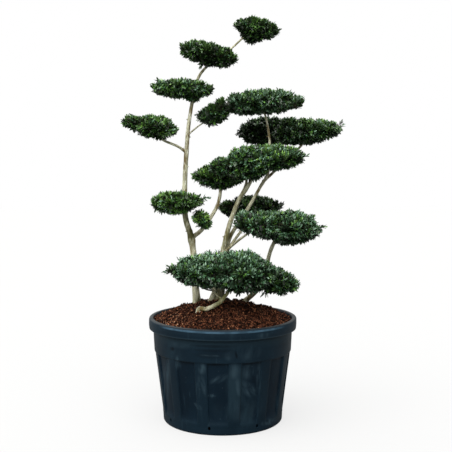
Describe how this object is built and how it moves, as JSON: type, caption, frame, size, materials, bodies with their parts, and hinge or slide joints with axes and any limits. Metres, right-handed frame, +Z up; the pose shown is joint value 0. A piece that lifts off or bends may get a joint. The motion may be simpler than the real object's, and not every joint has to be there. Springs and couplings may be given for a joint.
{
  "type": "potted cloud-pruned japanese holly",
  "caption": "Japanese holly shaped as a garden bonsai: bare pale stems carry clipped pads of small dark leaves above a round ribbed nursery tub filled with bark compost.",
  "frame": {"origin": "centre of the tub's flat underside", "axes": "+Z up; the picture looks along +Y, with +X to its right"},
  "size_m": [0.8634, 0.6161, 1.5813],
  "materials": {
    "tub": "satin moulded plastic, scuffed",
    "soil": "loose composted bark",
    "bark": "smooth pale bark with small knots",
    "foliage": "small glossy leaves"
  },
  "bodies": {
    "root": {"tub": "tub", "soil": "soil", "trunk_left": "bark", "trunk_centre": "bark", "trunk_right": "bark", "stem_low_right": "bark", "bough_low_front": "bark", "bough_fork": "bark", "bough_left": "bark", "bough_arch_left": "bark", "bough_centre_side": "bark", "bough_right_thin": "bark", "bough_low_back": "bark", "bough_back_left": "bark", "bough_back_right": "bark", "bough_foot_right": "bark", "bough_front_left": "bark", "pad_top": "foliage", "pad_second": "foliage", "pad_third": "foliage", "pad_arch_left": "foliage", "pad_arch": "foliage", "pad_left": "foliage", "pad_middle_left": "foliage", "tuft": "foliage", "pad_centre_left": "foliage", "pad_centre": "foliage", "pad_back_left": "foliage", "pad_back_right": "foliage", "pad_low_back": "foliage", "pad_low_right": "foliage", "pad_front": "foliage", "pad_foot_right": "foliage"}
  },
  "joints": []
}
